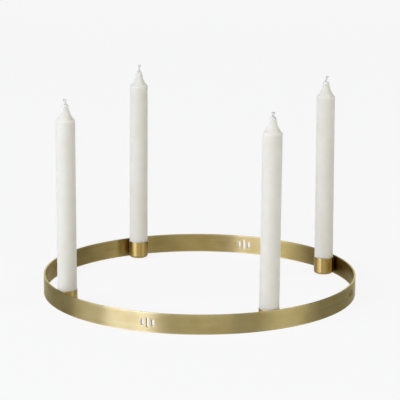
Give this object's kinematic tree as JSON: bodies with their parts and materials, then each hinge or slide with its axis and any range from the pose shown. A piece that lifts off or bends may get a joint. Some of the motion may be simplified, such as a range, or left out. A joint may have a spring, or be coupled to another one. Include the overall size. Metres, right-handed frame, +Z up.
{
  "type": "advent candle holder",
  "caption": "Slotted brass hoop that stands on its edge, with drawn candle cups brazed inside it and tapered dinner candles that lift out of the cups.",
  "frame": {"origin": "centre of the hoop, on the surface that it stands on", "axes": "+Z up along the hoop's axis; the groups of slots lie on +X, +Y, -X and -Y, and the cups lie midway between them"},
  "size_m": [0.36, 0.36, 0.2402],
  "materials": {
    "hoop_brass": "satin, brushed along the strip",
    "cup_brass": "satin, turned",
    "braze": "as flowed",
    "wax": "moulded paraffin wax, slightly translucent",
    "wick_cotton": "plaited and waxed"
  },
  "bodies": {
    "holder": {"hoop": "hoop_brass", "candle_cup_front_left": "cup_brass", "candle_cup_front_right": "cup_brass", "candle_cup_back_right": "cup_brass", "candle_cup_back_left": "cup_brass", "braze_seam_front_left": "braze", "braze_seam_front_right": "braze", "braze_seam_back_right": "braze", "braze_seam_back_left": "braze"},
    "front_left_candle": {"candle_front_left": "wax", "wick_front_left": "wick_cotton"},
    "front_right_candle": {"candle_front_right": "wax", "wick_front_right": "wick_cotton"},
    "back_right_candle": {"candle_back_right": "wax", "wick_back_right": "wick_cotton"},
    "back_left_candle": {"candle_back_left": "wax", "wick_back_left": "wick_cotton"}
  },
  "joints": [
    {"name": "front_left_candle_lift", "type": "slide", "parent": "holder", "child": "front_left_candle", "axis": [0, 0, 1], "range_m": [0, 0.04]},
    {"name": "front_right_candle_lift", "type": "slide", "parent": "holder", "child": "front_right_candle", "axis": [0, 0, 1], "range_m": [0, 0.04]},
    {"name": "back_right_candle_lift", "type": "slide", "parent": "holder", "child": "back_right_candle", "axis": [0, 0, 1], "range_m": [0, 0.04]},
    {"name": "back_left_candle_lift", "type": "slide", "parent": "holder", "child": "back_left_candle", "axis": [0, 0, 1], "range_m": [0, 0.04]}
  ]
}
